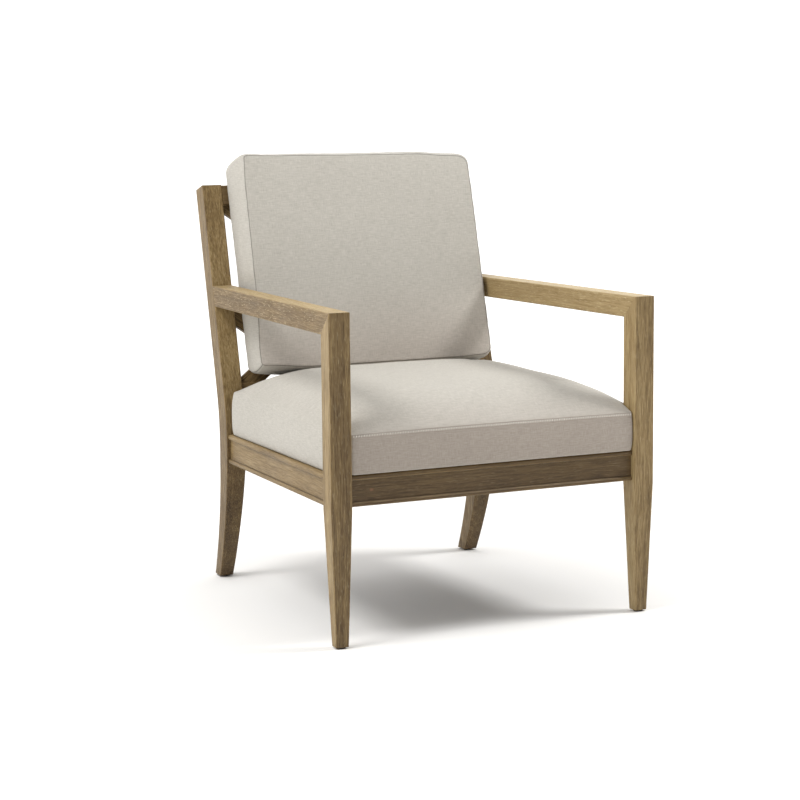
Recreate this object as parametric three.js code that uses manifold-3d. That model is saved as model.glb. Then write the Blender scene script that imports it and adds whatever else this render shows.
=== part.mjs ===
// Fireside chair: an open wooden armchair with a crossed-slat back, an upholstered seat
// and a loose box cushion at the back. Millimetres, +Z up, the front of the chair faces -Y.
// The origin is on the floor, in the middle of the chair's footprint.
import * as THREE from "three";
import { mergeVertices } from "three/addons/utils/BufferGeometryUtils.js";
import Module from "manifold-3d";

const wasm = await Module();
wasm.setup();

// ---------------------------------------------------------------- driving dimensions
const WIDTH = 686; // over the front posts
const HALF = WIDTH / 2;
const SPLAY = 0.0424; // how much each side leans inwards per mm of depth (2.4 degrees)
const Y_MID = 388; // depth from the front faces of the posts to the origin
const STOCK = 42.4; // width of posts, stiles and arms
const POST_DEPTH = 42.2;
const ARM_TOP = 623.5;
const ARM_THICK = 42.2;
const GAP = 0.3; // between pieces that touch
const GLIDE = 3.2; // thickness of the plate under each foot
const FOOT = GLIDE + 0.3; // where the wood of a foot ends

const FRONT_FOOT = { out: 9.2, in: 8.0, front: 7.0, back: 12.1 }; // what the taper takes off
const REAR_FOOT = { out: 6.9, in: 6.1 };
const TAPER_FROM = 258; // the legs are straight above this height

const LEAN = 0.272; // slope of the back, mm of depth per mm of height
const KNEE = 300; // height at which the rear leg is furthest forward
const KNEE_Y = 601; // front face of the rear leg there
const STILE_TOP = 831;
const STILE_DEPTH = 48.5; // measured level

const RAIL_TOP = 323; // at the front; the seat falls a little to the rear
const RAIL_TOP_FALL = 0.006;
const RAIL_LOW = 263;
const RAIL_LOW_FALL = 0.0075;
const RAIL_BEAD_OUT = 3; // beads of the side rails, in from the outer faces
const RAIL_FACE_OUT = 8;
const RAIL_IN = 28;
const FRONT_BEAD_Y = 9;
const FRONT_FACE_Y = 14;
const FRONT_IN_Y = 34;
const REAR_RAIL = [612, 637];
const BEAD = 11; // height of the top bead, the lower one is a little smaller

const SLAT_WIDTH = 39;
const SLAT_DEPTHS = [12, 24]; // from the front face of the back
const SLAT_SLOPE = 0.745;
const CROSS_AT = 303; // where the long slats cross, up the back
const SHORT_AT = 59.5; // where the centre lines of the short slats would cross
const BACK_TOP_RAIL = { low: 492, high: 533.5, depths: [0, 30] };
const BACK_LOW_RAIL = { low: 75, high: 113, depths: [6, 34] };

const SEAT = { front: 6, rear: 596, edge: 402.8, rise: 5.8, crown: 53.5, arch: 4.5 };
const PANEL_THICK = 12;
const CUSHION = { half: 263, low: 118, high: 570, front: -108, back: -0.8 };

// ---------------------------------------------------------------- small tools
const railTop = (y) => RAIL_TOP - RAIL_TOP_FALL * (y - 20);
const railLow = (y) => RAIL_LOW - RAIL_LOW_FALL * (y - 20);

// A closed geometry from rings of points: each ring has the same count, the ends are capped.
function loft(rings, domed = false) {
  const n = rings[0].length;
  const pos = [];
  rings.forEach((r) => r.forEach((p) => pos.push(...p)));
  const idx = [];
  for (let k = 0; k + 1 < rings.length; k++)
    for (let i = 0; i < n; i++) {
      const a = k * n + i,
        b = k * n + ((i + 1) % n),
        c = a + n,
        d = b + n;
      idx.push(a, b, d, a, d, c);
    }
  // each end is triangulated in the two coordinates that it faces least along
  const cap = (k, along) => {
    const normal = [0, 1, 2].map((j) => {
      const a = (j + 1) % 3,
        b = (j + 2) % 3;
      return Math.abs(
        rings[k].reduce((sum, p, i) => {
          const q = rings[k][(i + 1) % n];
          return sum + p[a] * q[b] - q[a] * p[b];
        }, 0),
      );
    });
    const drop = normal.indexOf(Math.max(...normal));
    const [u, v] = [0, 1, 2].filter((j) => j !== drop);
    const flat = rings[k].map((p) => new THREE.Vector2(p[u], p[v]));
    const turn = THREE.ShapeUtils.area(flat) > 0;
    for (const t of THREE.ShapeUtils.triangulateShape(flat, [])) {
      const same = THREE.ShapeUtils.area(t.map((i) => flat[i])) > 0 === turn;
      const [a, b, c] = t.map((i) => k * n + i);
      idx.push(...(same === along ? [a, b, c] : [a, c, b]));
    }
  };
  // a domed form's outlines have points along straight edges, so its ends fan from a centre
  const fan = (k, along) => {
    const m = [0, 1, 2].map((j) => rings[k].reduce((sum, p) => sum + p[j] / n, 0));
    const centre = pos.length / 3;
    pos.push(...m);
    for (let i = 0; i < n; i++) {
      const a = k * n + i,
        b = k * n + ((i + 1) % n);
      idx.push(...(along ? [centre, a, b] : [centre, b, a]));
    }
  };
  for (const k of [0, rings.length - 1]) (domed ? fan : cap)(k, k > 0);
  const g = new THREE.BufferGeometry();
  g.setAttribute("position", new THREE.Float32BufferAttribute(pos, 3));
  g.setIndex(idx);
  return g;
}

// Turns a closed triangle mesh into a solid, facing outwards whatever way it was wound.
function solid(geometry) {
  const g = geometry.clone();
  g.deleteAttribute("normal");
  g.deleteAttribute("uv");
  const m = mergeVertices(g, 1e-4);
  const make = (tris) =>
    new wasm.Manifold(
      new wasm.Mesh({
        numProp: 3,
        vertProperties: new Float32Array(m.attributes.position.array),
        triVerts: tris,
      }),
    );
  const tris = new Uint32Array(m.index.array);
  const s = make(tris);
  if (s.volume() > 0) return s;
  for (let i = 0; i < tris.length; i += 3)
    [tris[i + 1], tris[i + 2]] = [tris[i + 2], tris[i + 1]];
  return make(tris);
}

const map = (geometry, f) => {
  const p = geometry.attributes.position;
  for (let i = 0; i < p.count; i++)
    p.setXYZ(i, ...f(p.getX(i), p.getY(i), p.getZ(i)));
  return geometry;
};

// A box between two corners, as a plain mesh.
function box(lo, hi) {
  const g = new THREE.BoxGeometry(hi[0] - lo[0], hi[1] - lo[1], hi[2] - lo[2]);
  g.translate((lo[0] + hi[0]) / 2, (lo[1] + hi[1]) / 2, (lo[2] + hi[2]) / 2);
  return g;
}

// A prism: an outline in two coordinates, swept between two values of the third.
// order tells which coordinates the outline uses: "xy", "yz" or "xz".
function prism(outline, from, to, order = "xy") {
  const put = {
    xy: (a, b, c) => [a, b, c],
    yz: (a, b, c) => [c, a, b],
    xz: (a, b, c) => [a, c, b],
  }[order];
  const shape = new THREE.Shape(outline.map(([a, b]) => new THREE.Vector2(a, b)));
  const g = new THREE.ExtrudeGeometry(shape, {
    depth: to - from,
    bevelEnabled: false,
    curveSegments: 1,
  });
  return map(g, (a, b, c) => put(a, b, c + from));
}

// An upright round bar on the axis point, from one height to another along a direction.
function rod(at, along, length, radius, sides = 16, taperTo = radius) {
  const g = new THREE.CylinderGeometry(taperTo, radius, length, sides, 1);
  g.translate(0, length / 2, 0);
  const q = new THREE.Quaternion().setFromUnitVectors(
    new THREE.Vector3(0, 1, 0),
    new THREE.Vector3(...along).normalize(),
  );
  g.applyQuaternion(q);
  g.translate(...at);
  return g;
}

// Eight-cornered outline of a rectangle with small flats on its corners.
const eased = (a0, a1, b0, b1, c = 1.5) => [
  [a0 + c, b0],
  [a1 - c, b0],
  [a1, b0 + c],
  [a1, b1 - c],
  [a1 - c, b1],
  [a0 + c, b1],
  [a0, b1 - c],
  [a0, b0 + c],
];

// ---------------------------------------------------------------- frames of reference
// Side frame: u runs inwards from the outer face, y back from the front, z up.
const sideToWorld = (side) => (u, y, z) => [
  side * (HALF - u - SPLAY * y),
  y - Y_MID,
  z,
];
// Straight across the chair: x, y from the front, z.
const acrossToWorld = (x, y, z) => [x, y - Y_MID, z];
// The leaning back: x, s up the slope, d behind its front face.
const ANGLE = Math.atan(LEAN);
const COS = Math.cos(ANGLE),
  SIN = Math.sin(ANGLE);
const T = 0.136 / 0.001267; // where the curve above the knee meets the straight stile
const lineY = (z) => KNEE_Y - 0.136 * T + LEAN * (z - KNEE);
const BACK_Z = 315;
const BACK_Y = lineY(BACK_Z);
const backToWorld = (x, s, d) => [
  x,
  BACK_Y + s * SIN + d * COS - Y_MID,
  BACK_Z + s * COS - d * SIN,
];
const backY = (s, d = 0) => BACK_Y + s * SIN + d * COS;
const innerAt = (y) => HALF - STOCK - SPLAY * y; // inner faces of posts and stiles

// ---------------------------------------------------------------- legs
const frontLegSolid = (side) => {
  const f = FRONT_FOOT;
  const at = (z, k) =>
    eased(k * f.out, STOCK - k * f.in, k * f.front, POST_DEPTH - k * f.back).map(
      ([u, y]) => [u, y, z],
    );
  const k0 = (TAPER_FROM - FOOT) / TAPER_FROM;
  const leg = solid(
    map(loft([at(FOOT, k0), at(TAPER_FROM, 0), at(ARM_TOP, 0)]), sideToWorld(side)),
  );
  // the mitre: everything behind and above a 45 degree plane goes, it is the arm's
  const cut = prism(
    [
      [-1, ARM_TOP + 1 - GAP],
      [POST_DEPTH + 1, ARM_TOP - ARM_THICK - 1 - GAP],
      [POST_DEPTH + 40, ARM_TOP - ARM_THICK - 1 - GAP],
      [POST_DEPTH + 40, ARM_TOP + 40],
      [-1, ARM_TOP + 40],
    ],
    -5,
    STOCK + 5,
    "yz",
  );
  return leg.subtract(solid(map(cut, sideToWorld(side))));
};

const frontCurve = (z) => {
  if (z >= KNEE + T) return lineY(z);
  if (z >= KNEE) return KNEE_Y + 0.001267 * (z - KNEE) ** 2;
  return KNEE_Y + 87 * ((KNEE - z) / KNEE) ** 1.74;
};
const rearCurve = (z) =>
  frontCurve(z) +
  STILE_DEPTH -
  (z < KNEE ? 15.5 * ((KNEE - z) / KNEE) ** 1.2 : 0);
const REAR_LEVELS = [FOOT, 30, 60, 90, 120, 150, 180, 210, 235, 258, 280, 300, 322, 345, 368, 390, 410, 440];
const rearLegSolid = (side) => {
  const rings = REAR_LEVELS.map((z) => {
    const k = Math.max(0, (TAPER_FROM - z) / TAPER_FROM);
    return eased(k * REAR_FOOT.out, STOCK - k * REAR_FOOT.in, frontCurve(z), rearCurve(z)).map(
      ([u, y]) => [u, y, z],
    );
  });
  // the top is cut square to the lean of the stile
  rings.push(
    eased(0, STOCK, 0, 1).map(([u, t], i) => {
      const d = eased(0, STOCK, 0, STILE_DEPTH * COS)[i][1];
      return [u, frontCurve(STILE_TOP) + d * COS, STILE_TOP - d * SIN];
    }),
  );
  return solid(map(loft(rings), sideToWorld(side)));
};

// ---------------------------------------------------------------- arms
const armSolid = (side) => {
  const low = ARM_TOP - ARM_THICK;
  const c = 1.5;
  const end = (z) => frontCurve(z) - GAP;
  const front = (z) => ARM_TOP - z; // the mitre
  const ring = (f) =>
    eased(0, STOCK, low, ARM_TOP, c).map(([u, z]) => [u, f(z), z]);
  const bar = solid(map(loft([ring(front), ring(end)]), sideToWorld(side)));
  const tenon = solid(
    map(
      box([14, end(600) - 12, low + 9], [28, end(600) + 21, ARM_TOP - 10]),
      sideToWorld(side),
    ),
  );
  return bar.add(tenon);
};
// the loose tongue hidden inside each mitre
const splineGeo = (side, grow = 0) => {
  const m = ARM_TOP - ARM_THICK / 2; // middle of the mitre
  const h = 11 + grow,
    w = 3 + grow;
  const cy = POST_DEPTH / 2,
    cz = m;
  const r = Math.SQRT1_2;
  const p = (a, b) => [cy + (a + b) * r, cz + (a - b) * r];
  return map(
    prism([p(-h, -w), p(h, -w), p(h, w), p(-h, w)], 11 - grow, STOCK - 11 + grow, "yz"),
    sideToWorld(side),
  );
};

// ---------------------------------------------------------------- seat rails
// Profile across the thickness (t from the outer face) and the height, with a rounded bead
// along the top and the bottom of the outer face.
function railProfile(bead, face, inner, top, low) {
  const out = [];
  const half = (z0, z1) => {
    const r = (z1 - z0) / 2,
      m = (z0 + z1) / 2,
      reach = face - bead;
    for (const a of [-90, -55, -20, 20, 55, 90]) {
      const t = (a * Math.PI) / 180;
      out.push([face - reach * Math.cos(t), m + r * Math.sin(t)]);
    }
  };
  half(low, low + BEAD - 1.5);
  half(top - BEAD, top);
  out.push([inner, top], [inner, low]);
  return out;
}

const sideRail = (side) => {
  const y0 = POST_DEPTH + GAP;
  const ring = (y) =>
    railProfile(RAIL_BEAD_OUT, RAIL_FACE_OUT, RAIL_IN, railTop(y), railLow(y)).map(
      ([u, z]) => [u, y, z],
    );
  // the rear end is shaped to the curved front of the rear leg
  const end = REAR_LEVELS.filter((z) => z > 200 && z < 380).map((z) => [frontCurve(z) - GAP, z]);
  const rail = solid(map(loft([ring(y0), ring(640)]), sideToWorld(side))).subtract(
    solid(
      map(prism([...end, [700, end.at(-1)[1]], [700, end[0][1]]], -10, STOCK + 10, "yz"), sideToWorld(side)),
    ),
  );
  const t1 = solid(map(box([9.5, 21, 272], [19.5, 60, 312]), sideToWorld(side)));
  const t2 = solid(map(box([9.5, 585, 270], [19.5, 622, 309]), sideToWorld(side)));
  return rail.add(t1).add(t2);
};

// A rail straight across, whose ends follow the inner faces of the two sides.
const across = (outline, tenons) => {
  const ring = (side) =>
    outline.map(([y, z]) => [side * (innerAt(y) - GAP), y, z]);
  let s = solid(map(loft([ring(-1), ring(1)]), acrossToWorld));
  for (const [lo, hi] of tenons) s = s.add(solid(map(box(lo, hi), acrossToWorld)));
  return s;
};
const frontRail = () =>
  across(
    railProfile(FRONT_BEAD_Y, FRONT_FACE_Y, FRONT_IN_Y, railTop(20), railLow(20)),
    [[[-HALF + 22.6, 18, 272], [HALF - 22.6, 30, 312]]],
  );
const rearRail = () => {
  const [a, b] = REAR_RAIL;
  const z1 = railTop(a) - 0.4,
    z0 = railLow(a);
  const x = HALF - SPLAY * a - 23.5;
  return across(eased(a, b, z0, z1), [[[-x, a + 8, 268], [x, a + 18, 308]]]);
};

// ---------------------------------------------------------------- back
const backRail = ({ low, high, depths: [d0, d1] }, tenonLow, tenonHigh) => {
  const y = (s) => backY(s, (d0 + d1) / 2);
  const ring = (side) =>
    eased(low, high, d0, d1).map(([s, d]) => [
      side * (innerAt(backY(s, d)) - GAP),
      s,
      d,
    ]);
  const reach = innerAt(y((low + high) / 2)) + 17;
  return solid(map(loft([ring(-1), ring(1)]), backToWorld)).add(
    solid(
      map(
        box([-reach, tenonLow, 11], [reach, tenonHigh, 23]),
        backToWorld,
      ),
    ),
  );
};
// One diagonal slat: centre line s = c + slope x, cut to the opening with stub tenons.
function slatBar(c, slope, width, d0, d1, ease = 1.2) {
  const len = 420,
    n = Math.hypot(1, slope),
    ux = 1 / n,
    us = slope / n;
  const p = (a, b) => [a * ux - b * us, c + a * us + b * ux];
  const h = width / 2;
  const outline = ease
    ? eased(-h, h, d0, d1, ease)
    : [[-h, d0], [h, d0], [h, d1], [-h, d1]];
  return map(
    loft([-len, len].map((end) => outline.map(([b, d]) => [...p(end, b), d]))),
    backToWorld,
  );
}
const STUB = 6;
const opening = (grow, x0 = -1e3, x1 = 1e3) => {
  const low = BACK_LOW_RAIL.high - grow,
    high = BACK_TOP_RAIL.low + grow;
  const wl = innerAt(backY(BACK_LOW_RAIL.high, 18)) + grow,
    wh = innerAt(backY(BACK_TOP_RAIL.low, 18)) + grow;
  const clip = (x) => Math.min(Math.max(x, x0), x1);
  return solid(
    map(
      prism(
        [
          [clip(-wl), low],
          [clip(wl), low],
          [clip(wh), high],
          [clip(-wh), high],
        ],
        -20,
        60,
      ),
      backToWorld,
    ),
  );
};
const mid = (SLAT_DEPTHS[0] + SLAT_DEPTHS[1]) / 2;
const slats = {
  back_slat_long_falling: [CROSS_AT, -SLAT_SLOPE, -1e3, 1e3],
  back_slat_long_rising: [CROSS_AT, SLAT_SLOPE, -1e3, 1e3],
  back_slat_short_left: [SHORT_AT, -SLAT_SLOPE, -1e3, 0],
  back_slat_short_right: [SHORT_AT, SLAT_SLOPE, 0, 1e3],
};
const slatPieces = {};
const slatTools = []; // the slats a little larger, to cut their pockets
for (const [name, [c, slope, x0, x1]] of Object.entries(slats)) {
  let s = solid(slatBar(c, slope, SLAT_WIDTH, ...SLAT_DEPTHS)).intersect(
    opening(STUB, x0, x1),
  );
  for (const [other, [c2, slope2, a0, a1]] of Object.entries(slats)) {
    if (other === name || slope2 === slope) continue;
    // slats that fall to the right keep their front half where two cross
    const keepFront = slope < 0;
    const halfTool = solid(
      slatBar(
        c2,
        slope2,
        SLAT_WIDTH + 2 * GAP,
        keepFront ? mid - GAP / 2 : -5,
        keepFront ? 40 : mid + GAP / 2,
        0,
      ),
    ).intersect(opening(STUB + 2, a0, a1));
    const parts = s.subtract(halfTool).decompose();
    parts.sort((p, q) => q.volume() - p.volume());
    s = parts[0];
  }
  slatPieces[name] = s;
  slatTools.push(
    solid(
      slatBar(c, slope, SLAT_WIDTH + 2 * GAP, SLAT_DEPTHS[0] - GAP, SLAT_DEPTHS[1] + GAP),
    ).intersect(opening(STUB + GAP, x0, x1)),
  );
}

// ---------------------------------------------------------------- seat
// Half the width of the seat at its fullest: it bulges a little more towards the rear.
const seatHalf = (y) => HALF - 14 + (6 * y) / SEAT.rear - SPLAY * y;
// Rounded outline of the upholstered seat, following the sides of the chair.
function seatOutline(inset, radius) {
  const y0 = SEAT.front + inset,
    y1 = SEAT.rear - inset;
  const w = (y) => seatHalf(y) - inset;
  const pts = [];
  const arc = (cx, cy, from) => {
    for (let i = 0; i <= 4; i++) {
      const a = ((from + i * 22.5) * Math.PI) / 180;
      pts.push([cx + radius * Math.cos(a), cy + radius * Math.sin(a)]);
    }
  };
  const fill = (ax, ay, bx, by, n) => {
    for (let i = 1; i < n; i++)
      pts.push([ax + ((bx - ax) * i) / n, ay + ((by - ay) * i) / n]);
  };
  const r = radius;
  arc(-w(y0) + r, y0 + r, 180);
  fill(-w(y0) + r, y0, w(y0) - r, y0, 9);
  arc(w(y0) - r, y0 + r, 270);
  fill(w(y0 + r), y0 + r, w(y1 - r), y1 - r, 8);
  arc(w(y1) - r, y1 - r, 0);
  fill(w(y1) - r, y1, -w(y1) + r, y1, 9);
  arc(-w(y1) + r, y1 - r, 90);
  fill(-w(y1 - r), y1 - r, -w(y0 + r), y0 + r, 8);
  return pts;
}
const seatTopAt = (x, y) => {
  const yc = (SEAT.front + SEAT.rear) / 2,
    hd = (SEAT.rear - SEAT.front) / 2;
  const e = Math.min(1, Math.abs((y - yc) / hd)),
    q = Math.min(1, Math.abs(x / seatHalf(y)));
  return (
    SEAT.edge +
    SEAT.rise * ((y - yc) / hd) +
    SEAT.arch * (1 - q * q) +
    SEAT.crown * (1 - q ** 6.8) * (1 - e ** 6)
  );
};
// Plan of a flat board or cloth cut round the front posts: outer faces at u, front and rear at y.
const notched = (u, y0, y1, nu, ny) => {
  const w = (y, du = u) => HALF - du - SPLAY * y;
  const left = [
    [-w(y0, nu), y0],
    [-w(ny, nu), ny],
    [-w(ny), ny],
    [-w(y1), y1],
  ];
  return [...left, ...left.map(([x, y]) => [-x, y]).reverse()];
};
const panelGeo = (grow) => {
  const zOf = (y, up) => railTop(y) + (up ? 0.3 + PANEL_THICK + grow : 0.3 - (grow ? 3 : 0));
  return map(
    prism(
      notched(21 - grow, 20 - grow, 587 + grow, STOCK + 7 - grow, POST_DEPTH + 7 - grow),
      0,
      1,
    ),
    (x, y, z) => [x, y - Y_MID, zOf(y, z > 0.5)],
  );
};
function seatSolid() {
  const radius = 12;
  const rings = [];
  const level = (inset, z) => rings.push(seatOutline(inset, radius).map(([x, y]) => [x, y, z(x, y)]));
  level(4, (x, y) => railTop(y) + 0.35);
  level(1, (x, y) => railTop(y) + 14);
  level(0, (x, y) => railTop(y) + 40);
  level(0.8, (x, y) => SEAT.edge + SEAT.rise * ((y - 301) / 295) - 8);
  for (const inset of [2.2, 6, 12, 21, 34, 55, 95, 150, 215]) level(inset, seatTopAt);
  let s = solid(map(loft(rings, true), acrossToWorld));
  for (const side of [-1, 1])
    s = s.subtract(
      solid(
        map(
          box([-20, -5, 300], [STOCK + 2.6, POST_DEPTH + 3.2, 480]),
          sideToWorld(side),
        ),
      ),
    );
  // the padding is pressed flat where the loose cushion stands on it
  const foot = solid(
    map(box([-290, CUSHION.low - 0.8 - GAP, -120], [290, CUSHION.low + 300, 60]), backToWorld),
  );
  return s.subtract(solid(panelGeo(0.5))).subtract(foot);
}

// ---------------------------------------------------------------- loose back cushion
function cushionOutline(inset, radius) {
  const w = CUSHION.half - inset,
    a = CUSHION.low + inset,
    b = CUSHION.high - inset;
  const r = Math.max(4, radius);
  const pts = [];
  const arc = (cx, cy, from) => {
    for (let i = 0; i <= 4; i++) {
      const t = ((from + i * 22.5) * Math.PI) / 180;
      pts.push([cx + r * Math.cos(t), cy + r * Math.sin(t)]);
    }
  };
  const fill = (ax, ay, bx, by, n) => {
    for (let i = 1; i < n; i++)
      pts.push([ax + ((bx - ax) * i) / n, ay + ((by - ay) * i) / n]);
  };
  arc(-w + r, a + r, 180);
  fill(-w + r, a, w - r, a, 6);
  arc(w - r, a + r, 270);
  fill(w, a + r, w, b - r, 6);
  arc(w - r, b - r, 0);
  fill(w - r, b, -w + r, b, 6);
  arc(-w + r, b - r, 90);
  fill(-w, b - r, -w, a + r, 6);
  return pts;
}
function backCushionSolid() {
  const rings = [];
  const ring = (inset, d, r) =>
    rings.push(cushionOutline(inset, r).map(([x, s]) => [x, s, d]));
  const { front, back } = CUSHION;
  ring(150, front - 9, 60);
  ring(80, front - 8, 40);
  ring(40, front - 6.5, 28);
  ring(16, front - 4.2, 20);
  ring(4, front - 1.6, 15);
  ring(0.3, front + 2, 14);
  ring(-0.8, (front + back) / 2, 14);
  ring(1.8, back - 6, 14);
  ring(5, back - 0.7, 15);
  ring(16, back, 20);
  ring(50, back, 30);
  return solid(map(loft(rings, true), backToWorld));
}
// the zip along the bottom of the cushion's rear edge: tape and slider
function zipSolid() {
  const y = CUSHION.low - 0.8 - 0.5;
  const tape = solid(map(box([-190, y - 1.4, -62], [190, y, -46]), backToWorld));
  const slider = solid(map(box([170, y - 3.4, -58], [184, y - 1, -50]), backToWorld));
  return tape.add(slider);
}

// ---------------------------------------------------------------- corner blocks and screws
const BLOCK = { low: 268, high: 304, leg: 92 };
const blockGeo = (side, rear) => {
  const g = GAP;
  const ui = RAIL_IN + g,
    ul = STOCK + g;
  const outline = rear
    ? [
        [ui, KNEE_Y - g],
        [ul, KNEE_Y - g],
        [ul, REAR_RAIL[0] - g],
        [RAIL_IN + BLOCK.leg, REAR_RAIL[0] - g],
        [RAIL_IN + BLOCK.leg, REAR_RAIL[0] - 12],
        [ui + 12, REAR_RAIL[0] - BLOCK.leg],
        [ui, REAR_RAIL[0] - BLOCK.leg],
      ]
    : [
        [ul, FRONT_IN_Y + g],
        [RAIL_IN + BLOCK.leg, FRONT_IN_Y + g],
        [RAIL_IN + BLOCK.leg, FRONT_IN_Y + 12],
        [ui + 12, FRONT_IN_Y + BLOCK.leg],
        [ui, FRONT_IN_Y + BLOCK.leg],
        [ui, POST_DEPTH + g],
        [ul, POST_DEPTH + g],
      ];
  return map(prism(outline, BLOCK.low, BLOCK.high), sideToWorld(side));
};
// A countersunk-free pan-head wood screw with a cross recess: at = under the head.
function screwSolid(at, along, length) {
  const v = new THREE.Vector3(...along).normalize();
  const back = (k) => at.map((c, i) => c - v.getComponent(i) * k);
  const ahead = (k) => at.map((c, i) => c + v.getComponent(i) * k);
  let s = solid(rod(back(2.6), along, 2.6, 2.6, 16, 4.2));
  s = s.add(solid(rod(back(0.2), along, length - 6, 2, 12)));
  s = s.add(solid(rod(ahead(length - 6.4), along, 6.4, 2, 12, 0.5)));
  const q = new THREE.Quaternion().setFromUnitVectors(new THREE.Vector3(0, 0, 1), v);
  for (const [a, b] of [
    [1.7, 0.4],
    [0.4, 1.7],
  ]) {
    const g = new THREE.BoxGeometry(a * 2, b * 2, 3);
    g.applyQuaternion(q);
    g.translate(...back(2.6));
    s = s.subtract(solid(g));
  }
  return s;
}
const screwHole = (at, along, length) => {
  const v = new THREE.Vector3(...along).normalize();
  return solid(rod(at.map((c, i) => c - v.getComponent(i) * 1), along, length + 2, 2.35, 12));
};

// ---------------------------------------------------------------- assembly
const WOOD = { color: 0x8f7c61, roughness: 0.62, metalness: 0 };
const INNER_WOOD = { color: 0xb59b74, roughness: 0.75, metalness: 0 };
const FABRIC = { color: 0xd2cbc0, roughness: 0.95, metalness: 0 };
const STEEL = { color: 0x9a9a98, roughness: 0.4, metalness: 1 };
const BLACK_CLOTH = { color: 0x1d1d1e, roughness: 0.95, metalness: 0 };
const GLIDE_PLASTIC = { color: 0x2a2623, roughness: 0.55, metalness: 0 };

const group = new THREE.Group();
group.name = "fireside_chair";
function place(name, s, look) {
  const m = s.getMesh();
  const g = new THREE.BufferGeometry();
  const n = m.numProp;
  const v = new Float32Array(m.numVert * 3);
  for (let i = 0; i < m.numVert; i++)
    v.set(m.vertProperties.subarray(i * n, i * n + 3), i * 3);
  g.setAttribute("position", new THREE.BufferAttribute(v, 3));
  g.setIndex(new THREE.BufferAttribute(new Uint32Array(m.triVerts), 1));
  const flat = g.toNonIndexed();
  flat.computeVertexNormals();
  const mesh = new THREE.Mesh(flat, new THREE.MeshStandardMaterial(look));
  mesh.name = name;
  group.add(mesh);
}

const frontRailSolid = frontRail();
const rearRailSolid = rearRail();
let topRail = backRail(BACK_TOP_RAIL, 500, 526);
let lowRail = backRail(BACK_LOW_RAIL, 80, 105);
for (const tool of slatTools) {
  topRail = topRail.subtract(tool);
  lowRail = lowRail.subtract(tool);
}
// the tenons, a little larger, cut the mortises
const tenonTools = [
  solid(map(box([-HALF + 22.6 - GAP, 18 - GAP, 272 - GAP], [HALF - 22.6 + GAP, 30 + GAP, 312 + GAP]), acrossToWorld)),
];
{
  const a = REAR_RAIL[0];
  const x = HALF - SPLAY * a - 23.5 + GAP;
  tenonTools.push(
    solid(map(box([-x, a + 8 - GAP, 268 - GAP], [x, a + 18 + GAP, 308 + GAP]), acrossToWorld)),
  );
  for (const [r, lo, hi] of [
    [BACK_TOP_RAIL, 500, 526],
    [BACK_LOW_RAIL, 80, 105],
  ]) {
    const reach =
      innerAt(backY((r.low + r.high) / 2, (r.depths[0] + r.depths[1]) / 2)) + 17 + GAP;
    tenonTools.push(
      solid(map(box([-reach, lo - GAP, 11 - GAP], [reach, hi + GAP, 23 + GAP]), backToWorld)),
    );
  }
}
const sideTenons = (side) => [
  solid(map(box([9.5 - GAP, 21 - GAP, 272 - GAP], [19.5 + GAP, 60, 312 + GAP]), sideToWorld(side))),
  solid(map(box([9.5 - GAP, 585, 270 - GAP], [19.5 + GAP, 622 + GAP, 309 + GAP]), sideToWorld(side))),
  solid(
    map(
      box(
        [14 - GAP, frontCurve(600) - 14, ARM_TOP - ARM_THICK + 9 - GAP],
        [28 + GAP, frontCurve(600) - GAP + 21 + GAP, ARM_TOP - 10 + GAP],
      ),
      sideToWorld(side),
    ),
  ),
];

const screws = {};
const screwTools = [];
const word = { "-1": "left", 1: "right" };
const railTools = { front: [], rear: [], "-1": [], 1: [] };
const blocks = {};
let seatPanel = solid(panelGeo(0));
let dustCover = solid(
  map(prism(notched(RAIL_IN + 1, FRONT_IN_Y + 1, REAR_RAIL[0] - 1, STOCK + 1.5, POST_DEPTH + 1.5), 0, 1), (x, y, z) => [
    x,
    y - Y_MID,
    railTop(y) - (z > 0.5 ? 0.2 : 1.4),
  ]),
);
// the rear corners of the cover are cut back, too, clear of the stiles
for (const side of [-1, 1])
  dustCover = dustCover.subtract(
    solid(map(box([0, KNEE_Y - 2, 300], [STOCK + 1.5, 640, 340]), sideToWorld(side))),
  );
for (const side of [-1, 1])
  for (const rear of [false, true]) {
    const label = `${rear ? "rear" : "front"}_${word[side]}`;
    let block = solid(blockGeo(side, rear));
    const toW = sideToWorld(side);
    const zc = (BLOCK.low + BLOCK.high) / 2;
    // one screw into the rail across, one into the side rail, one up into the seat
    const yDir = rear ? 1 : -1;
    const yA = rear ? REAR_RAIL[0] - 26 : FRONT_IN_Y + 26;
    const list = [
      { key: "rail", at: toW(88, yA, zc - 6), along: [0, yDir, 0], length: 42, into: rear ? "rear" : "front" },
      {
        key: "side",
        at: toW(RAIL_IN + 26, rear ? REAR_RAIL[0] - 60 : FRONT_IN_Y + 60, zc + 6),
        along: [side, 0, 0],
        length: 40,
        into: String(side),
      },
      { key: "seat", at: toW(64, rear ? REAR_RAIL[0] - 38 : FRONT_IN_Y + 38, BLOCK.low + 6), along: [0, 0, 1], length: 56, into: "seat" },
    ];
    for (const it of list) {
      const v = new THREE.Vector3(...it.along);
      const hole = screwHole(it.at, it.along, it.length);
      // the counterbore that the head sits in
      const bore = solid(
        rod(it.at.map((c, i) => c - v.getComponent(i) * 60), it.along, 60 + GAP, 5.2, 16),
      );
      block = block.subtract(hole).subtract(bore);
      if (it.into === "seat") {
        seatPanel = seatPanel.subtract(hole);
        const clear = solid(rod(it.at, it.along, 70, 4.5, 12));
        dustCover = dustCover.subtract(clear);
      } else railTools[it.into].push(hole);
      screws[`corner_screw_${label}_${it.key}`] = screwSolid(it.at, it.along, it.length);
    }
    blocks[`corner_block_${label}`] = block;
  }
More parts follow.
